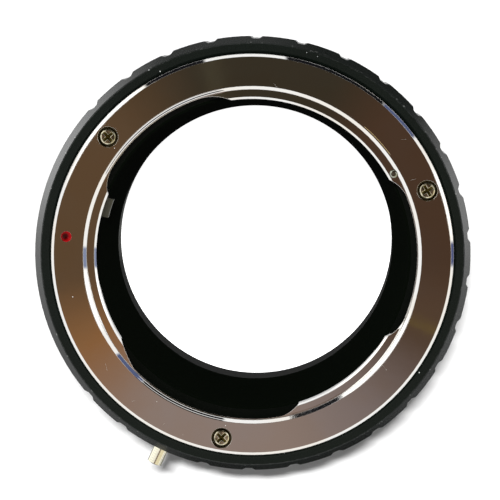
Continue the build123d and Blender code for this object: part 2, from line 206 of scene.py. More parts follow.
class AdapterMetalSettings(bpy.types.PropertyGroup):
    """Plated and bare metal of the rings and small pieces."""

    chrome: colour("Chrome", "Plate of the lens and camera rings", (0.90, 0.89, 0.87))
    stain: colour("Stain", "Faint warm stain on the plate", (0.90, 0.86, 0.80))
    chrome_gloss: share("Chrome roughness", "Roughness of the polished plate", 0.03)
    edge_round: length("Edge rounding", "Radius that polishing gives the outer edges", 0.05 * MM)
    wide_round: length("Wide rounding", "That radius where the edges are polished rounder", 0.30 * MM)
    foot_round: length("Foot rounding", "Radius that it gives the foot of the outer bevel", 0.20 * MM)
    lug_round: length("Lug rounding", "Radius that polishing gives the lugs' edges", 0.05 * MM)
    hole_round: length("Hole rounding", "Radius that polishing gives the edges of the holes", 0.02 * MM)
    polish_pitch: length("Polish lines", "Distance between the polishing lines on the bevels", 0.28 * MM)
    scratches: share("Scratches", "Share of places that have a hairline scratch", 0.10)
    # Golden tint painted on thin arcs of the seat face.
    seat_arc_gold: colour("Rub", "Plate that a lens has rubbed", (0.85, 0.66, 0.32))
    bore_paint: colour("Bore paint", "Black paint in the camera ring's bore", (0.0045, 0.0052, 0.0040))
    # Lighter grey given to the bore's black paint on some arcs.
    lighter_bore_paint: colour("Thin paint", "That paint where it is rubbed thin", (0.10, 0.105, 0.095))
    nickel: colour("Nickel", "Plate of the screws", (0.80, 0.74, 0.55))
    dull_nickel: colour("Dull nickel", "That plate where it has gone dull", (0.30, 0.28, 0.19))
    # Painted shade: dark tint laid in the corners, recesses and counterbores of the metal pieces.
    recess_shade_tint: colour("Grime", "Dirt in corners and recesses", (0.09, 0.065, 0.015))
    steel: colour("Steel", "Lock lever and spring", (0.17, 0.17, 0.14))
    steel_gloss: share("Steel roughness", "Roughness of the lock lever and spring", 0.42)
    stop_pin: colour("Stop pin", "Steel of the stop pin", (0.50, 0.52, 0.43))
    stop_pin_gloss: share("Stop pin roughness", "Roughness of the stop pin", 0.14)
    pin: colour("Pin plate", "Plate of the release pin", (0.93, 0.89, 0.71))
    # Painted shade: dark colour on the release pin's sides, set by the way they face.
    pin_side_shade: colour("Pin side", "Sides of the release pin, where the plate is tarnished", (0.10, 0.10, 0.07))
    pin_ribs: length("Pin ribs", "Distance between the turning marks on the release pin", 0.35 * MM)
    paint: colour("Index paint", "Red of the index marks", (0.42, 0.005, 0.007))
    # Painted shade: dark red towards a spot off the middle of each index mark.
    paint_pit_shade: colour("Index pit", "Red in the pit of the index marks", (0.03, 0.001, 0.001))


class AdapterStageSettings(bpy.types.PropertyGroup):
    """Floor, surroundings, lamp and camera."""

    floor: colour("Floor", "Colour of the floor", (0.85, 0.85, 0.85))
    floor_size: length("Floor size", "Side of the square floor", 1.6)
    floor_fill: share("Floor fill", "Light that the floor adds where the camera sees it", 0.02)
    floor_under: share("Floor under", "Brightness of the floor under the bore in reflections", 0.6)
    card_left: strength("Left card", "Brightness of the card at the left", 4.6)
    card_right: strength("Right card", "Brightness of the card at the right", 2.9)
    card_side: strength("Side card", "Brightness of the card beside the left one", 1.9)
    card_low: strength("Low cards", "Brightness of the cards at the lower left and right", 1.15)
    card_far: strength("Far cards", "Brightness of the cards further round", 0.55)
    card_dark: strength("Dark cards", "Brightness of the cards at the top and bottom", 0.07)
    horizon: colour("Surround", "White surroundings", (1.0, 1.0, 1.0))
    ambient: colour("Ambient", "Soft light from all round on matt faces", (0.17, 0.17, 0.17))
    window: strength("Windows", "Brightness of the windows in the surroundings", 1.6)
    dark_gap: colour("Dark gap", "Dark gaps in the surroundings", (0.009, 0.009, 0.011))
    blue_gap: colour("Blue gap", "Blue gaps in the surroundings", (0.095, 0.12, 0.24))
    pale_gap: colour("Pale gap", "Blue-grey gaps in the surroundings", (0.24, 0.28, 0.42))
    low_gap: colour("Low gap", "Slate gaps low down and far off on the floor", (0.09, 0.11, 0.25))
    grey_gap: colour("Grey gap", "Grey gaps in the surroundings", (0.25, 0.26, 0.31))
    warm: colour("Warm side", "Surroundings high up at the lower right", (0.86, 0.79, 0.62))
    room: colour("Room", "Dim room above the dark gaps", (0.040, 0.036, 0.026))
    ceiling_gold: colour("Ceiling gold", "Golden streak of the ceiling", (0.155, 0.110, 0.030))
    ceiling_olive: colour("Ceiling olive", "Pale streak of the ceiling", (0.062, 0.052, 0.032))
    ceiling_brown: colour("Ceiling brown", "Ceiling beside the golden streak", (0.088, 0.054, 0.036))
    ceiling_right: colour("Ceiling right", "Ceiling mirrored at the right", (0.070, 0.0394, 0.0245))
    ceiling_top: colour("Ceiling top", "Ceiling mirrored at the top", (0.040, 0.0314, 0.0202))
    ceiling_left: colour("Ceiling left", "Ceiling mirrored at the left", (0.111, 0.0664, 0.0357))
    ceiling_warm: colour("Ceiling warm", "Ceiling mirrored at the lower left", (0.260, 0.126, 0.051))
    ceiling_low: colour("Ceiling low", "Ceiling mirrored at the bottom", (0.274, 0.212, 0.188))
    ceiling_dusk: colour("Ceiling dusk", "Ceiling mirrored at the lower right", (0.200, 0.156, 0.145))
    lamp_power: FloatProperty(
        name="Lamp power", description="Power of the soft key lamp", default=49.0, min=0.0, unit="POWER"
    )
    lamp_width: length("Lamp width", "Lamp from side to side", 0.20)
    lamp_depth: length("Lamp depth", "Lamp from top to bottom", 0.06)
    lamp_place: FloatVectorProperty(
        name="Lamp place", description="Centre of the lamp", size=3, default=(-0.01, 0.365, 2.0),
        subtype="TRANSLATION"
    )
    camera_height: length("Camera height", "Camera above the lens seat face", 0.4521)
    camera_side: FloatVectorProperty(
        name="Camera side", description="Camera across from the optical axis", size=2,
        default=(9.18 * MM, 39.11 * MM), subtype="TRANSLATION"
    )
    aim: FloatVectorProperty(
        name="Aim", description="Point of the seat face in the middle of the picture", size=2,
        default=(-0.306 * MM, 0.816 * MM), subtype="TRANSLATION"
    )
    focal_length: FloatProperty(
        name="Focal length", description="Lens of the camera", default=227.3, min=1.0, unit="CAMERA"
    )


# Node helpers

def feed(tree, value, socket):
    """Links an output to a socket, or sets a plain value on it."""
    if isinstance(value, bpy.types.NodeSocket):
        tree.links.new(value, socket)
    elif socket.type == "RGBA":
        socket.default_value = (*value[:3], 1.0)
    else:
        socket.default_value = value


def place(tree, kind, inputs=None, **options):
    """Adds a shader node with its options set and its sockets fed."""
    node = tree.nodes.new("ShaderNode" + kind)
    for option, value in options.items():
        setattr(node, option, value)
    for name, value in (inputs or {}).items():
        feed(tree, value, node.inputs[name])
    return node


def place_group(tree, name, inputs=None):
    """Adds one of the shared effects and gives back its outputs."""
    node = tree.nodes.new("ShaderNodeGroup")
    node.node_tree = bpy.data.node_groups[name]
    for label, value in (inputs or {}).items():
        feed(tree, value, node.inputs[label])
    return node.outputs


def maths(tree, operation, *values):
    """One step of arithmetic, as a socket."""
    return place(tree, "Math", dict(enumerate(values)), operation=operation).outputs[0]


def combine(tree, operation, values):
    """Some values brought together by one step of arithmetic after another, as a socket."""
    return reduce(lambda first, second: maths(tree, operation, first, second), values)


def hypotenuse(tree, first, second):
    """Length of two parts at right angles, as a socket."""
    squares = [maths(tree, "POWER", part, 2.0) for part in (first, second)]
    return maths(tree, "SQRT", combine(tree, "ADD", squares))


def step(tree, value, start, end):
    """A soft step from 0 at start to 1 at end, as a socket."""
    inputs = {"Value": value, "From Min": start, "From Max": end}
    return place(tree, "MapRange", inputs, interpolation_type="SMOOTHSTEP").outputs["Result"]


def between(tree, value, low, high, soft):
    """1 between two values and 0 outside them, with soft ends, as a socket."""
    rising = step(tree, value, low - soft, low + soft)
    falling = step(tree, value, high + soft, high - soft)
    return maths(tree, "MULTIPLY", rising, falling)


def spread(tree, value, low, high):
    """A value from 0 to 1 taken to a range from low to high, as a socket."""
    inputs = {"Value": value, "To Min": low, "To Max": high}
    return place(tree, "MapRange", inputs).outputs["Result"]


def mix_colours(tree, part, first, second):
    """Two colours mixed by a mask, as a socket."""
    return place(tree, "Mix", {0: part, 6: first, 7: second}, data_type="RGBA").outputs[2]


def mix_values(tree, part, first, second):
    """Two values mixed by a mask, as a socket."""
    return place(tree, "Mix", {0: part, 2: first, 3: second}, data_type="FLOAT").outputs[0]


def noise(tree, vector, scale, detail=2.0, roughness=0.5):
    """Noise from 0 to 1, as a socket."""
    inputs = {"Vector": vector, "Scale": scale, "Detail": detail, "Roughness": roughness}
    return place(tree, "TexNoise", inputs).outputs[0]


def new_group(name, inputs, outputs):
    """A shader node group with named sockets: its tree, what comes in and what goes out."""
    tree = bpy.data.node_groups.new(name, "ShaderNodeTree")
    for label, kind in inputs:
        tree.interface.new_socket(label, in_out="INPUT", socket_type="NodeSocket" + kind)
    for label, kind in outputs:
        tree.interface.new_socket(label, in_out="OUTPUT", socket_type="NodeSocket" + kind)
    entry = tree.nodes.new("NodeGroupInput").outputs
    result = tree.nodes.new("NodeGroupOutput").inputs
    return tree, entry, result


# Shared effects

def make_axis_group():
    """Place in millimetres, and radius, height and angle about the optical axis."""
    outputs = (("Position", "Vector"), ("Radius", "Float"), ("Height", "Float"), ("Angle", "Float"))
    tree, _, result = new_group("about_optical_axis", (), outputs)
    where = place(tree, "TexCoord").outputs["Object"]
    position = place(tree, "VectorMath", {0: where, "Scale": 1.0 / MM}, operation="SCALE").outputs[0]
    parts = place(tree, "SeparateXYZ", {0: position}).outputs
    feed(tree, position, result["Position"])
    feed(tree, hypotenuse(tree, parts[0], parts[1]), result["Radius"])
    feed(tree, parts[2], result["Height"])
    feed(tree, maths(tree, "ARCTAN2", parts[1], parts[0]), result["Angle"])


def make_dust_group():
    """Small round specks, scattered about one to a cell."""
    inputs = (("Position", "Vector"), ("Spacing", "Float"), ("Size", "Float"), ("Share", "Float"))
    tree, entry, result = new_group("dust_specks", inputs, (("Mask", "Float"),))
    cell = {"Vector": entry["Position"], "Scale": maths(tree, "DIVIDE", 1.0, entry["Spacing"])}
    cells = place(tree, "TexVoronoi", cell).outputs
    chance = place(tree, "SeparateColor", {0: cells["Color"]}).outputs
    distance = maths(tree, "MULTIPLY", cells["Distance"], entry["Spacing"])
    reach = maths(tree, "MULTIPLY", entry["Size"], spread(tree, chance[1], 0.35, 1.0))
    spot = maths(tree, "LESS_THAN", distance, reach)
    chosen = maths(tree, "LESS_THAN", chance[0], entry["Share"])
    feed(tree, maths(tree, "MULTIPLY", spot, chosen), result["Mask"])


def make_scratch_group():
    """Hairline scratches: a short line of its own direction in each chosen cell."""
    inputs = (
        ("Position", "Vector"), ("Spacing", "Float"), ("Length", "Float"), ("Width", "Float"),
        ("Share", "Float"),
    )
    tree, entry, result = new_group("hairline_scratches", inputs, (("Mask", "Float"),))
    scale = maths(tree, "DIVIDE", 1.0, entry["Spacing"])
    cell = {"Vector": entry["Position"], "Scale": scale}
    cells = place(tree, "TexVoronoi", cell, voronoi_dimensions="2D").outputs
    chance = place(tree, "SeparateColor", {0: cells["Color"]}).outputs
    ends = {0: entry["Position"], 1: cells["Position"]}
    offset = place(tree, "VectorMath", ends, operation="SUBTRACT").outputs[0]
    turn = maths(tree, "MULTIPLY", chance[0], math.tau)
    turned = place(tree, "VectorRotate", {"Vector": offset, "Angle": turn}, rotation_type="Z_AXIS").outputs[0]
    along, across, _ = place(tree, "SeparateXYZ", {0: turned}).outputs
    bow = maths(tree, "MULTIPLY", maths(tree, "POWER", along, 2.0), 0.04)
    off_line = maths(tree, "ABSOLUTE", maths(tree, "SUBTRACT", across, bow))
    line = maths(tree, "LESS_THAN", off_line, entry["Width"])
    half_length = maths(tree, "MULTIPLY", entry["Length"], spread(tree, chance[1], 0.2, 1.0))
    in_reach = maths(tree, "LESS_THAN", maths(tree, "ABSOLUTE", along), half_length)
    chosen = maths(tree, "LESS_THAN", chance[2], entry["Share"])
    feed(tree, combine(tree, "MULTIPLY", (line, in_reach, chosen)), result["Mask"])


def make_turned_group():
    """Fine lines of a lathe tool, which run round the optical axis."""
    inputs = (("Radius", "Float"), ("Height", "Float"), ("Angle", "Float"), ("Pitch", "Float"))
    tree, entry, result = new_group("turned_lines", inputs, (("Relief", "Float"),))
    rows = [maths(tree, "DIVIDE", entry[name], entry["Pitch"]) for name in ("Radius", "Height")]
    lay = place(tree, "CombineXYZ", {0: rows[0], 1: rows[1], 2: entry["Angle"]}).outputs[0]
    feed(tree, noise(tree, lay, 1.0, detail=3.0), result["Relief"])


def make_worn_edge_group():
    """Edges of a piece, found where a rounded normal leaves the plain one, broken up by noise."""
    inputs = (("Position", "Vector"), ("Width", "Float"), ("Grain", "Float"))
    tree, entry, result = new_group("worn_edges", inputs, (("Mask", "Float"),))
    rounded = place(tree, "Bevel", {"Radius": entry["Width"]}, samples=6).outputs[0]
    plain = place(tree, "NewGeometry").outputs["Normal"]
    match = place(tree, "VectorMath", {0: rounded, 1: plain}, operation="DOT_PRODUCT").outputs["Value"]
    edge = step(tree, match, 0.99, 0.90)
    breakup = step(tree, noise(tree, entry["Position"], entry["Grain"], detail=4.0), 0.45, 0.62)
    feed(tree, maths(tree, "MULTIPLY", edge, breakup), result["Mask"])


def make_rounded_group():
    """Normals that run round the edges of a piece, as polished plate does."""
    tree, entry, result = new_group("rounded_edges", (("Radius", "Float"),), (("Normal", "Vector"),))
    feed(tree, place(tree, "Bevel", {"Radius": entry["Radius"]}, samples=8).outputs[0], result["Normal"])


def make_recess_shade_group():
    """Painted shade: a mask of corners and recesses, found by how little open sky reaches them."""
    tree, entry, result = new_group("recess_shade", (("Reach", "Float"),), (("Mask", "Float"),))
    open_sky = place(tree, "AmbientOcclusion", {"Distance": entry["Reach"]}, samples=8).outputs["AO"]
    feed(tree, step(tree, open_sky, 0.62, 0.30), result["Mask"])


SHARED_EFFECTS = (
    make_axis_group, make_dust_group, make_scratch_group, make_turned_group, make_worn_edge_group,
    make_rounded_group, make_recess_shade_group,
)


# Materials

def new_material(name):
    """An empty material: the material, its tree, its shader and the place about the optical axis."""
    material = bpy.data.materials.new(name)
    material.use_nodes = True
    tree = material.node_tree
    shader = tree.nodes["Principled BSDF"]
    return material, tree, shader, place_group(tree, "about_optical_axis")


def set_shader(tree, shader, **values):
    """Feeds the shader's sockets, named in lower case with underscores."""
    for label, value in values.items():
        feed(tree, value, shader.inputs[label.replace("_", " ").title().replace("Ior", "IOR")])


def bump(tree, height, distance, strength=1.0, normal=None):
    """A relief as a normal, with its depth in metres."""
    inputs = {"Height": height, "Distance": distance, "Strength": strength}
    if normal is not None:
        inputs["Normal"] = normal
    return place(tree, "Bump", inputs).outputs["Normal"]


def anodised_material(settings):
    """Satin black anodising with a worn rim edge, turning marks and dust, matt black inside."""
    material, tree, shader, axis = new_material("black_anodised_barrel")
    position, radius, height = axis["Position"], axis["Radius"], axis["Height"]
    lines = place_group(
        tree, "turned_lines", {"Radius": radius, "Height": height, "Angle": axis["Angle"], "Pitch": 0.11}
    )["Relief"]
    grain = noise(tree, position, 9.0, detail=3.0)
    smudge = noise(tree, position, 0.16, detail=4.0, roughness=0.6)
    rim = settings.rim_radius / MM
    half_wear = settings.wear_width / MM / 2.0
    on_edge = between(tree, radius, rim - half_wear, rim + half_wear, 0.06)
    near_front = step(tree, height, rim_level / MM - 0.9, rim_level / MM - 0.5)
    chips = noise(tree, position, 1.9, detail=5.0, roughness=0.65)
    chipped = step(tree, chips, 0.66 - 0.3 * settings.wear, 0.70)
    rim_wear = combine(tree, "MULTIPLY", (on_edge, near_front, chipped))
    edge = place_group(tree, "worn_edges", {"Position": position, "Width": 0.10 * MM, "Grain": 1.3})["Mask"]
    outside = step(tree, radius, ring_radius / MM + 0.05, ring_radius / MM + 0.15)
    past_lip = step(tree, radius, ring_radius / MM + 0.6, ring_radius / MM + 0.7)
    wear = maths(tree, "MAXIMUM", rim_wear, maths(tree, "MULTIPLY", edge, 0.22))
    wear = maths(tree, "MULTIPLY", wear, past_lip)
    specks = {"Position": position, "Spacing": 1.5, "Size": 0.11, "Share": 0.26}
    dust = maths(tree, "MULTIPLY", place_group(tree, "dust_specks", specks)["Mask"], outside)
    tint = mix_colours(tree, smudge, settings.anodised, [1.5 * part for part in settings.anodised])
    tint = mix_colours(tree, outside, settings.bore, tint)
    dusty = mix_colours(tree, dust, tint, settings.dust)
    worn = mix_colours(tree, wear, dusty, settings.bare_metal)
    roughness = spread(tree, grain, settings.gloss - 0.08, settings.gloss + 0.08)
    roughness = mix_values(tree, outside, 0.85, roughness)
    relief = maths(tree, "ADD", maths(tree, "MULTIPLY", lines, 0.3), maths(tree, "MULTIPLY", grain, 0.7))
    set_shader(
        tree, shader, base_color=worn, metallic=wear, roughness=mix_values(tree, dust, roughness, 0.9),
        specular_ior_level=ANODISED_SPECULAR, normal=bump(tree, relief, 0.012 * MM, 0.7),
    )
    return material


def bore_material(settings):
    """Matt black of the anti-glare grooves."""
    material, tree, shader, axis = new_material("matt_black_bore")
    grain = noise(tree, axis["Position"], 6.0, detail=4.0)
    tint = mix_colours(tree, grain, settings.bore, [2.0 * part for part in settings.bore])
    set_shader(
        tree, shader, base_color=tint, roughness=spread(tree, grain, 0.72, 0.9),
        specular_ior_level=MATT_SPECULAR, normal=bump(tree, grain, 0.02 * MM, 0.5),
    )
    return material


def nearest_point(tree, position, points):
    """Distance in millimetres from a position to the nearest of some points, which are in metres."""
    distances = []
    for point in points:
        ends = {0: position, 1: [part / MM for part in point]}
        distances.append(place(tree, "VectorMath", ends, operation="DISTANCE").outputs["Value"])
    return combine(tree, "MINIMUM", distances)


def near_points(tree, position, points, reach):
    """Mask of the places nearer to any of some points than a reach, in metres."""
    return step(tree, nearest_point(tree, position, points), reach / MM + 0.03, reach / MM - 0.03)


def on_seat(radius, angle):
    """A point of the lens seat face, from its radius and its angle in degrees."""
    around = math.radians(angle)
    return Vector((radius * math.cos(around), radius * math.sin(around), lens_face))


SEAT_SCREWS = [on_seat(SCREW_CIRCLE, angle) for angle in SCREW_ANGLES]
SEAT_INDEX = on_seat(INDEX_CIRCLE, INDEX_ANGLE)


def on_arcs(tree, angle, arcs, soft):
    """Mask of some arcs about the optical axis, each from its first to its last angle in degrees."""
    ends = [(math.radians(first), math.radians(last)) for first, last in arcs]
    return combine(tree, "MAXIMUM", [between(tree, angle, *pair, math.radians(soft)) for pair in ends])


def golden_seat_arcs(tree, axis):
    """Mask of the golden arcs painted on the seat face."""
    marks = []
    for radius, first, last in GOLDEN_SEAT_ARCS:
        line = between(tree, axis["Radius"], radius - 0.04, radius + 0.04, 0.02)
        marks.append(maths(tree, "MULTIPLY", line, on_arcs(tree, axis["Angle"], ((first, last),), 0.6)))
    return combine(tree, "MAXIMUM", marks)


def polished_normal(tree, settings, axis):
    """Normals of polished plate: edges rounded more or less, and lines and grain on the inner bevel."""
    radius, angle = axis["Radius"], axis["Angle"]
    seat, ring_edge, lug_edge = lens_face / MM, ring_radius / MM, INNER_BEVEL[0]
    inner_arcs = on_arcs(tree, angle, INNER_ROUND_ARCS, 5.0)
    outer_arcs = on_arcs(tree, angle, OUTER_ROUND_ARCS, 5.0)
    outer = step(tree, radius, BEVEL_DIVIDE - 0.1, BEVEL_DIVIDE + 0.1)
    rounder = mix_values(tree, outer, inner_arcs, outer_arcs)
    reach = mix_values(tree, rounder, settings.edge_round, settings.wide_round)
    reach = mix_values(tree, step(tree, radius, lug_edge, lug_edge - 0.2), reach, settings.lug_round)
    below = step(tree, axis["Height"], seat - 0.20, seat - 0.28)
    foot = maths(tree, "MULTIPLY", below, step(tree, radius, ring_edge - 0.30, ring_edge - 0.22))
    reach = maths(tree, "MAXIMUM", reach, maths(tree, "MULTIPLY", foot, settings.foot_round))
    sharp = near_points(tree, axis["Position"], [*SEAT_SCREWS, SEAT_INDEX], HOLE_REACH)
    reach = mix_values(tree, sharp, reach, settings.hole_round)
    rounded = place_group(tree, "rounded_edges", {"Radius": reach})["Normal"]
    lines = maths(tree, "SINE", maths(tree, "MULTIPLY", radius, math.tau * MM / settings.polish_pitch))
    lines = maths(tree, "MULTIPLY", lines, on_arcs(tree, angle, LINED_ARCS, 2.0))
    grain = maths(tree, "MULTIPLY", noise(tree, axis["Position"], 7.0), 1.3)
    grain = maths(tree, "MULTIPLY", grain, on_arcs(tree, angle, GRAINY_ARCS, 2.0))
    inner_bevel = between(tree, radius, *INNER_BEVEL, 0.05)
    relief = maths(tree, "MULTIPLY", maths(tree, "ADD", lines, grain), inner_bevel)
    return bump(tree, relief, 0.0035 * MM, 1.0, rounded)


def chrome_material(name, settings, painted_radius=0.0):
    """Polished plate with rounded edges, hairline scratches, dust and golden arcs, painted shade in recesses
    and counterbores, and black paint inside an optional radius, lighter grey on some arcs.
    """
    material, tree, shader, axis = new_material(name)
    position, radius = axis["Position"], axis["Radius"]
    lines = {"Position": position, "Spacing": 3.1, "Length": 0.7, "Width": 0.008, "Share": settings.scratches}
    scratch = place_group(tree, "hairline_scratches", lines)["Mask"]
    specks = {"Position": position, "Spacing": 2.0, "Size": 0.07, "Share": 0.16}
    dust = place_group(tree, "dust_specks", specks)["Mask"]
    # Painted shade: recesses and the screws' counterbores take a dark tint and a rougher finish.
    recess_shade_mask = place_group(tree, "recess_shade", {"Reach": 0.55 * MM})["Mask"]
    haze = noise(tree, position, 0.22, detail=4.0, roughness=0.6)
    patches = noise(tree, position, 0.13, detail=3.0)
    ripple = noise(tree, position, 0.5, detail=2.0)
    sunk = step(tree, axis["Height"], lens_face / MM - 0.002, lens_face / MM - 0.02)
    counterbore_shade = maths(tree, "MULTIPLY", near_points(tree, position, SEAT_SCREWS, HOLE_REACH), sunk)
    recess_shade_mask = maths(tree, "MAXIMUM", recess_shade_mask, counterbore_shade)
    seat_arcs = golden_seat_arcs(tree, axis)
    marks = combine(tree, "MAXIMUM", (scratch, dust, seat_arcs))
    tint = mix_colours(tree, step(tree, patches, 0.42, 0.66), settings.chrome, settings.stain)
    tint = mix_colours(tree, seat_arcs, tint, settings.seat_arc_gold)
    tint = mix_colours(tree, recess_shade_mask, tint, settings.recess_shade_tint)
    roughness = spread(tree, haze, 0.5 * settings.chrome_gloss, 1.5 * settings.chrome_gloss)
    roughness = mix_values(tree, maths(tree, "MAXIMUM", marks, recess_shade_mask), roughness, 0.4)
    metallic = maths(tree, "SUBTRACT", 1.0, maths(tree, "MULTIPLY", dust, 0.8))
    mark = near_points(tree, position, [SEAT_INDEX], INDEX_REACH)
    tint = mix_colours(tree, mark, tint, settings.paint)
    roughness = mix_values(tree, mark, roughness, 0.5)
    if painted_radius:
        paint = step(tree, radius, painted_radius / MM + 0.12, painted_radius / MM + 0.08)
        paler = on_arcs(tree, axis["Angle"], LIGHTER_BORE_ARCS, 5.0)
        shade = mix_colours(tree, paler, settings.bore_paint, settings.lighter_bore_paint)
        tint = mix_colours(tree, paint, tint, shade)
        roughness = mix_values(tree, paint, roughness, 0.7)
        metallic = mix_values(tree, paint, metallic, 0.0)
    relief = maths(tree, "SUBTRACT", ripple, maths(tree, "MULTIPLY", marks, 0.3))
    set_shader(
        tree, shader, base_color=tint, metallic=metallic, roughness=roughness,
        specular_ior_level=MATT_SPECULAR,
        normal=bump(tree, relief, 0.0012 * MM, 0.5, polished_normal(tree, settings, axis)),
    )
    return material


def nickel_material(settings):
    """Yellowish nickel of the screws, dull in patches, with painted shade in the recesses and on all but the
    faces of the heads.
    """
    material, tree, shader, axis = new_material("nickel_screws")
    grain = noise(tree, axis["Position"], 3.0, detail=4.0)
    recess_shade_mask = place_group(tree, "recess_shade", {"Reach": 0.6 * MM})["Mask"]
    # Painted shade: all of the screws but the outer 0.06 mm of their heads takes the dark tint, which darkens
    # the cross recesses and the heads' sides.
    low, high = camera_head_level / MM + 0.06, lens_head_level / MM - 0.06
    recess_shade_mask = maths(tree, "MAXIMUM", recess_shade_mask, between(tree, axis["Height"], low, high, 0.03))
    dull = step(tree, noise(tree, axis["Position"], 1.7, detail=3.0), 0.44, 0.60)
    tint = mix_colours(tree, dull, settings.nickel, settings.dull_nickel)
    tint = mix_colours(tree, recess_shade_mask, tint, settings.recess_shade_tint)
    rounded = place_group(tree, "rounded_edges", {"Radius": 0.10 * MM})["Normal"]
    set_shader(
        tree, shader, base_color=tint, metallic=1.0,
        roughness=mix_values(tree, recess_shade_mask, spread(tree, grain, 0.08, 0.18), 0.4),
        normal=bump(tree, grain, 0.008 * MM, 0.5, rounded),
    )
    return material


def steel_material(name, settings, steel, gloss):
    """Steel of the lock or the stop pin, with worn edges and painted shade in its recesses."""
    material, tree, shader, axis = new_material(name)
    grain = noise(tree, axis["Position"], 5.0, detail=5.0)
    worn = {"Position": axis["Position"], "Width": 0.06 * MM, "Grain": 2.0}
    edge = place_group(tree, "worn_edges", worn)["Mask"]
    # Painted shade: corners and recesses take the dark tint.
    recess_shade_mask = place_group(tree, "recess_shade", {"Reach": 0.4 * MM})["Mask"]
    tint = mix_colours(tree, grain, [0.7 * part for part in steel], steel)
    tint = mix_colours(tree, recess_shade_mask, tint, settings.recess_shade_tint)
    bright = mix_colours(tree, edge, tint, [1.2 * part for part in steel])
    set_shader(
        tree, shader, base_color=bright, metallic=1.0,
        roughness=spread(tree, grain, gloss - 0.08, gloss + 0.08),
        normal=bump(tree, grain, 0.01 * MM, 0.6),
    )
    return material


def pin_material(settings):
    """Bright plate of the release pin, a little yellow, with turning marks and painted shade on the sides
    that turn away from straight up.
    """
    material, tree, shader, axis = new_material("pin_plate")
    grain = noise(tree, axis["Position"], 2.5, detail=3.0)
    tint = mix_colours(tree, grain, settings.pin, [0.86 * part for part in settings.pin])
    # Painted shade: where the normal turns away from straight up, the pin takes the dark side colour.
    normal = place(tree, "NewGeometry").outputs["Normal"]
    upward = place(tree, "SeparateXYZ", {0: normal}).outputs[2]
    tint = mix_colours(tree, step(tree, upward, 0.48, 0.30), tint, settings.pin_side_shade)
    ribs = maths(tree, "SINE", maths(tree, "MULTIPLY", axis["Radius"], math.tau * MM / settings.pin_ribs))
    relief = maths(tree, "ADD", grain, maths(tree, "MULTIPLY", ribs, 0.4))
    set_shader(
        tree, shader, base_color=tint, metallic=1.0, roughness=spread(tree, grain, 0.10, 0.2),
        normal=bump(tree, relief, 0.006 * MM, 0.5),
    )
    return material


def paint_material(settings):
    """Red index paint, glossy and a little uneven, with painted shade darkening it towards a spot off the
    middle of the mark.
    """
    material, tree, shader, axis = new_material("red_index_paint")
    blot = noise(tree, axis["Position"], 1.6, detail=3.0)
    # Painted shade: darker towards a spot off the middle of the mark.
    from_shade_spot = nearest_point(tree, axis["Position"], [SEAT_INDEX + INDEX_SHADE_SPOT])
    tint = mix_colours(tree, blot, settings.paint, [0.6 * part for part in settings.paint])
    tint = mix_colours(tree, step(tree, from_shade_spot, 0.95, 0.20), tint, settings.paint_pit_shade)
    set_shader(
        tree, shader, base_color=tint, roughness=spread(tree, blot, 0.16, 0.3),
        specular_ior_level=PAINT_SPECULAR, normal=bump(tree, blot, 0.03 * MM, 0.5),
    )
    return material


def finish_nodes(material, *names):
    """Puts a material on CAD nodes."""
    for name in names:
        frame["nodes"][name].material_slots[0].material = material


# Modelling steps

def start_ring(name, radius, level, segments):
    """Deselects all, and starts a new object in edit mode as one ring of vertices about the optical axis."""
    bpy.ops.object.select_all(action="DESELECT")
    bpy.ops.mesh.primitive_circle_add(vertices=segments, radius=radius, location=(0.0, 0.0, level))
    bpy.ops.object.transform_apply(location=True)
    piece = bpy.context.active_object
    piece.name = name
    piece.data.name = name
    bpy.ops.object.mode_set(mode="EDIT")
    bpy.ops.mesh.select_all(action="SELECT")
    return piece


def extrude_ring(old, new):
    """Extrudes the selected ring from one (radius, level) to another."""
    bpy.ops.mesh.extrude_region_move(TRANSFORM_OT_translate={"value": (0.0, 0.0, new[1] - old[1])})
    factor = new[0] / old[0]
    bpy.ops.transform.resize(value=(factor, factor, 1.0), center_override=(0.0, 0.0, new[1]))


def turn_closed(name, profile, segments):
    """A turned solid: a closed profile of (radius, level) points, extruded ring by ring and bridged."""
    piece = start_ring(name, *profile[0], segments)
    for old, new in zip(profile, profile[1:]):
        extrude_ring(old, new)
    bpy.ops.mesh.select_mode(type="EDGE")
    bpy.ops.mesh.select_all(action="DESELECT")
    bpy.ops.mesh.select_non_manifold(extend=False)
    bpy.ops.mesh.bridge_edge_loops()
    bpy.ops.mesh.select_all(action="SELECT")
    bpy.ops.mesh.remove_doubles(threshold=1e-7)
    bpy.ops.mesh.normals_make_consistent(inside=False)
    bpy.ops.object.mode_set(mode="OBJECT")
    return piece


def cut_box(piece, centre, size, turn):
    """Cuts a box, turned about the vertical, out of a piece."""
    bpy.ops.object.select_all(action="DESELECT")
    bpy.ops.mesh.primitive_cube_add(size=1.0, location=centre, rotation=(0.0, 0.0, turn), scale=size)
    cutter = bpy.context.active_object
    modifier = piece.modifiers.new("cut", "BOOLEAN")
    modifier.operation = "DIFFERENCE"
    modifier.object = cutter
    bpy.context.view_layer.objects.active = piece
    bpy.ops.object.modifier_apply(modifier=modifier.name)
    bpy.data.objects.remove(cutter)


def groove_profile(settings):
    """Saw teeth down the funnel's wall, closed by a wall just inside the barrel's."""
    fall = settings.funnel_top - settings.funnel_end
    narrowing = settings.funnel_mouth_radius - settings.funnel_end_radius
    teeth = int(fall / settings.groove_pitch)
    wall = []
    for index in range(2 * teeth + 1):
        down = index / (2 * teeth)
        depth = settings.groove_depth if index % 2 == 0 else settings.groove_root
        radius = settings.funnel_mouth_radius - down * narrowing
        wall.append((radius - depth, settings.funnel_top - down * fall))
    behind = settings.groove_depth - settings.groove_room
    outer = [(radius + behind, level) for radius, level in (wall[-1], wall[0])]
    return wall + outer


# Operators

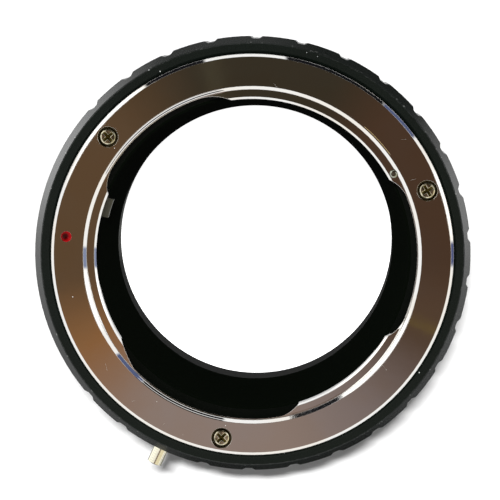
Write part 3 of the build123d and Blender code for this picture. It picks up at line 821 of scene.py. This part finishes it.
class ADAPTER_OT_barrel(bpy.types.Operator):
    """Finish the black anodised barrel"""

    bl_idname = "adapter.barrel"
    bl_label = "Finish barrel"

    def execute(self, context):
        finish_nodes(anodised_material(context.scene.adapter_barrel), "main_body")
        return {"FINISHED"}


class ADAPTER_OT_bore_grooves(bpy.types.Operator):
    """Model the anti-glare grooves of the bore"""

    bl_idname = "adapter.bore_grooves"
    bl_label = "Model bore grooves"

    def execute(self, context):
        settings = context.scene.adapter_barrel
        grooves = turn_closed("bore_grooves", groove_profile(settings), GROOVE_SEGMENTS)
        around = settings.nose_angle
        window = (
            settings.funnel_mouth_radius * math.cos(around), settings.funnel_mouth_radius * math.sin(around),
            settings.funnel_top,
        )
        cut_box(grooves, window, NOSE_WINDOW, around)
        grooves.select_set(True)
        bpy.ops.object.shade_smooth_by_angle(angle=SMOOTH_ANGLE)
        grooves.data.materials.append(bore_material(settings))
        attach(grooves, "adapter")
        return {"FINISHED"}


class ADAPTER_OT_rings(bpy.types.Operator):
    """Finish the chromed lens ring and camera ring"""

    bl_idname = "adapter.rings"
    bl_label = "Finish rings"

    def execute(self, context):
        metal = context.scene.adapter_metal
        finish_nodes(chrome_material("lens_ring_chrome", metal), "lens_mount_ring")
        finish_nodes(chrome_material("camera_ring_chrome", metal, bore_radius), "camera_mount_ring")
        return {"FINISHED"}


class ADAPTER_OT_screws(bpy.types.Operator):
    """Finish the nickel screws of both rings"""

    bl_idname = "adapter.screws"
    bl_label = "Finish screws"

    def execute(self, context):
        finish_nodes(nickel_material(context.scene.adapter_metal), "lens_mount_screws", "camera_mount_screws")
        return {"FINISHED"}


class ADAPTER_OT_lock(bpy.types.Operator):
    """Finish the lens lock and the stop pin"""

    bl_idname = "adapter.lock"
    bl_label = "Finish lock"

    def execute(self, context):
        metal = context.scene.adapter_metal
        dull = steel_material("dull_steel", metal, metal.steel, metal.steel_gloss)
        finish_nodes(dull, "lock_lever", "lock_pivot_screw", "lock_spring")
        bright = steel_material("stop_pin_steel", metal, metal.stop_pin, metal.stop_pin_gloss)
        finish_nodes(bright, "stop_pin")
        finish_nodes(pin_material(metal), "release_pin")
        return {"FINISHED"}


class ADAPTER_OT_index_marks(bpy.types.Operator):
    """Finish the red index marks"""

    bl_idname = "adapter.index_marks"
    bl_label = "Finish index marks"

    def execute(self, context):
        finish_nodes(paint_material(context.scene.adapter_metal), "lens_index_dot", "camera_index_dot")
        return {"FINISHED"}


def bearing_ramp(tree, bearing, stops, peak=1.0):
    """Colours one after another by their bearing, each from its angle in degrees, as parts of a peak."""
    turn = place(tree, "MapRange", {"Value": bearing, "From Min": -math.pi, "From Max": math.pi})
    node = place(tree, "ValToRGB", {0: turn.outputs["Result"]})
    elements = node.color_ramp.elements
    while len(elements) < len(stops):
        elements.new(1.0)
    for element, (shade, angle) in zip(elements, stops):
        element.position = (angle + 180.0) / 360.0
        element.color = (*(part / peak for part in shade), 1.0)
    return node.outputs["Color"]


def mirrored_floor(tree, settings):
    """Brightness and colour of the floor and its cards in reflections, and the distance from its middle."""
    where = place(tree, "TexCoord").outputs["Object"]
    parts = place(tree, "SeparateXYZ", {0: where}).outputs
    away = place(tree, "VectorMath", {0: where}, operation="LENGTH").outputs["Value"]
    bearing = maths(tree, "ARCTAN2", parts[1], parts[0])
    stops = [([getattr(settings, name)] * 3, angle) for name, angle in CARD_BEARINGS]
    shares = bearing_ramp(tree, bearing, stops, settings.card_left)
    cards = maths(tree, "MULTIPLY", shares, settings.card_left)
    cards = mix_values(tree, between(tree, away, *CARD_RING, CARD_SOFT), 1.0, cards)
    brightness = mix_values(tree, step(tree, away, ring_radius, bore_radius), cards, settings.floor_under)
    gaps = on_arcs(tree, bearing, [azimuths for *azimuths, _, _ in LOW_GAPS], GAP_SOFT)
    far_gaps = maths(tree, "MULTIPLY", gaps, step(tree, away, *FAR_FLOOR))
    return brightness, mix_colours(tree, far_gaps, settings.horizon, settings.low_gap), away


def make_floor(settings):
    """A pale floor that the camera sees as white, and that keeps the adapter's shadow, except under the bore,
    where it glows white.
    """
    bpy.ops.object.select_all(action="DESELECT")
    bpy.ops.mesh.primitive_plane_add(size=settings.floor_size, location=(0.0, 0.0, floor_level))
    floor = bpy.context.active_object
    floor.name = "floor"
    material = bpy.data.materials.new("pale_floor")
    material.use_nodes = True
    tree = material.node_tree
    tree.nodes.remove(tree.nodes["Principled BSDF"])
    mirrored, shade, away = mirrored_floor(tree, settings)
    # Painted light: under the bore the floor glows white to the camera, over the shade that falls there.
    glow_under_bore = step(tree, away, bore_radius + 1.5 * MM, bore_radius)
    paths = place(tree, "LightPath").outputs
    seen = maths(tree, "MAXIMUM", paths["Is Camera Ray"], paths["Is Transmission Ray"])
    fill = maths(tree, "MULTIPLY", seen, mix_values(tree, glow_under_bore, settings.floor_fill, 1.0))
    glow = place(tree, "Emission", {"Color": settings.horizon, "Strength": fill}).outputs[0]
    matt = place(tree, "BsdfDiffuse", {"Color": settings.floor}).outputs[0]
    lit = place(tree, "AddShader", {0: glow, 1: matt}).outputs[0]
    card = place(tree, "Emission", {"Color": shade, "Strength": mirrored}).outputs[0]
    shown = place(tree, "MixShader", {0: paths["Is Glossy Ray"], 1: lit, 2: card}).outputs[0]
    feed(tree, shown, tree.nodes["Material Output"].inputs["Surface"])
    floor.data.materials.append(material)


def mirrored_ceiling(tree, settings, parts):
    """The dim warm ceiling, set out as the seat face mirrors it, and how far a ray is from its middle."""
    rise = maths(tree, "MAXIMUM", parts[2], 0.02)
    reach = ring_radius / settings.camera_height
    mirrored = []
    for axis_index in range(2):
        slope = maths(tree, "DIVIDE", parts[axis_index], rise)
        centred = maths(tree, "ADD", slope, settings.camera_side[axis_index] / settings.camera_height)
        mirrored.append(maths(tree, "DIVIDE", centred, reach))
    across, up = mirrored
    stops = [(getattr(settings, name), angle) for name, angle in CEILING_BEARINGS]
    ceiling = bearing_ramp(tree, maths(tree, "ARCTAN2", up, across), stops)
    return ceiling, hypotenuse(tree, across, up)


def fill_gaps(tree, rise, azimuth, surround, gaps, gap_colour):
    """The surround with gaps of one colour in it, each from its azimuths and elevations."""
    for first, last, lowest, highest in gaps:
        low, high = (math.sin(math.radians(elevation)) for elevation in (lowest, highest))
        level = between(tree, rise, low, high, 0.02)
        inside = maths(tree, "MULTIPLY", on_arcs(tree, azimuth, ((first, last),), GAP_SOFT), level)
        surround = mix_colours(tree, inside, surround, gap_colour)
    return surround


def make_surround(settings):
    """A white surround with gaps and windows under a dim warm ceiling, for what is polished.

    Matt faces get plain soft light from it, and the camera itself sees white.
    """
    world = bpy.data.worlds.new("studio_surround")
    bpy.context.scene.world = world
    world.use_nodes = True
    tree = world.node_tree
    ray = place(tree, "TexCoord").outputs["Generated"]
    parts = place(tree, "SeparateXYZ", {0: ray}).outputs
    rise = parts[2]
    azimuth = maths(tree, "ARCTAN2", parts[1], parts[0])
    ceiling, away = mirrored_ceiling(tree, settings, parts)
    tent = mix_colours(tree, on_arcs(tree, azimuth, (WARM_SIDE,), 8.0), settings.horizon, settings.warm)
    tent = mix_colours(tree, on_arcs(tree, azimuth, (DARK_SIDE,), 6.0), tent, settings.room)
    above = mix_colours(tree, step(tree, away, 2.0, 4.0), ceiling, tent)
    surround = mix_colours(tree, step(tree, rise, 0.46, 0.36), above, settings.horizon)
    tall = maths(tree, "MULTIPLY", on_arcs(tree, azimuth, WINDOWS, 5.0), step(tree, rise, 0.97, 0.8))
    surround = mix_colours(tree, tall, surround, [settings.window * part for part in settings.horizon])
    for gaps, shade in (
        (GREY_GAPS, settings.grey_gap), (PALE_GAPS, settings.pale_gap), (LOW_GAPS, settings.low_gap),
        (BLUE_GAPS, settings.blue_gap), (DARK_GAPS, settings.dark_gap),
    ):
        surround = fill_gaps(tree, rise, azimuth, surround, gaps, shade)
    paths = place(tree, "LightPath").outputs
    mirrored = maths(tree, "MAXIMUM", paths["Is Glossy Ray"], paths["Is Transmission Ray"])
    shown = mix_colours(tree, mirrored, settings.ambient, surround)
    shown = mix_colours(tree, paths["Is Camera Ray"], shown, settings.horizon)
    feed(tree, shown, tree.nodes["Background"].inputs["Color"])
    tree.nodes["Background"].inputs["Strength"].default_value = 1.0


def make_lamp(settings):
    """One soft key lamp, high up and off towards the top of the picture."""
    bpy.ops.object.light_add(type="AREA", location=settings.lamp_place)
    lamp = bpy.context.active_object
    lamp.name = "soft_key"
    lamp.data.energy = settings.lamp_power
    lamp.data.shape = "RECTANGLE"
    lamp.data.size = settings.lamp_width
    lamp.data.size_y = settings.lamp_depth
    lamp.visible_glossy = False
    lamp.rotation_euler = (-Vector(settings.lamp_place)).to_track_quat("-Z", "Y").to_euler()


def make_camera(settings):
    """The camera, nearly straight above the lens seat face, with +Y up in the picture."""
    bpy.ops.object.camera_add()
    camera = bpy.context.active_object
    camera.name = "photo_camera"
    camera.data.lens = settings.focal_length
    camera.location = (*settings.camera_side, lens_face + settings.camera_height)
    back = (camera.location - Vector((*settings.aim, lens_face))).normalized()
    right = Vector((0.0, 1.0, 0.0)).cross(back).normalized()
    turned = Matrix((right, back.cross(right), back)).transposed()
    camera.rotation_euler = turned.to_euler()
    bpy.context.scene.camera = camera


class ADAPTER_OT_stage(bpy.types.Operator):
    """Set the floor, surround, lamp and camera"""

    bl_idname = "adapter.stage"
    bl_label = "Set stage"

    def execute(self, context):
        settings = context.scene.adapter_stage
        make_floor(settings)
        make_surround(settings)
        make_lamp(settings)
        make_camera(settings)
        context.scene.view_settings.view_transform = "Standard"
        return {"FINISHED"}


class ADAPTER_PT_sidebar(bpy.types.Panel):
    """Lists the steps that finish the adapter"""

    bl_idname = "ADAPTER_PT_sidebar"
    bl_label = "Lens mount adapter"
    bl_space_type = "VIEW_3D"
    bl_region_type = "UI"
    bl_category = "Adapter"

    def draw(self, context):
        for operator in OPERATORS:
            self.layout.operator(operator.bl_idname)


OPERATORS = (
    ADAPTER_OT_barrel,
    ADAPTER_OT_bore_grooves,
    ADAPTER_OT_rings,
    ADAPTER_OT_screws,
    ADAPTER_OT_lock,
    ADAPTER_OT_index_marks,
    ADAPTER_OT_stage,
)
SETTINGS = {
    "adapter_barrel": AdapterBarrelSettings,
    "adapter_metal": AdapterMetalSettings,
    "adapter_stage": AdapterStageSettings,
}


def register():
    """Adds the classes and hangs the settings on the scene."""
    for group in (*SETTINGS.values(), *OPERATORS, ADAPTER_PT_sidebar):
        bpy.utils.register_class(group)
    for name, group in SETTINGS.items():
        setattr(bpy.types.Scene, name, PointerProperty(type=group))


def unregister():
    """Takes the settings and classes away again."""
    for name in SETTINGS:
        delattr(bpy.types.Scene, name)
    for group in reversed((*SETTINGS.values(), *OPERATORS, ADAPTER_PT_sidebar)):
        bpy.utils.unregister_class(group)


def main():
    """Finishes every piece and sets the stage."""
    register()
    for make_effect in SHARED_EFFECTS:
        make_effect()
    bpy.ops.adapter.barrel()
    bpy.ops.adapter.bore_grooves()
    bpy.ops.adapter.rings()
    bpy.ops.adapter.screws()
    bpy.ops.adapter.lock()
    bpy.ops.adapter.index_marks()
    bpy.ops.adapter.stage()


if __name__ == "__main__":
    main()
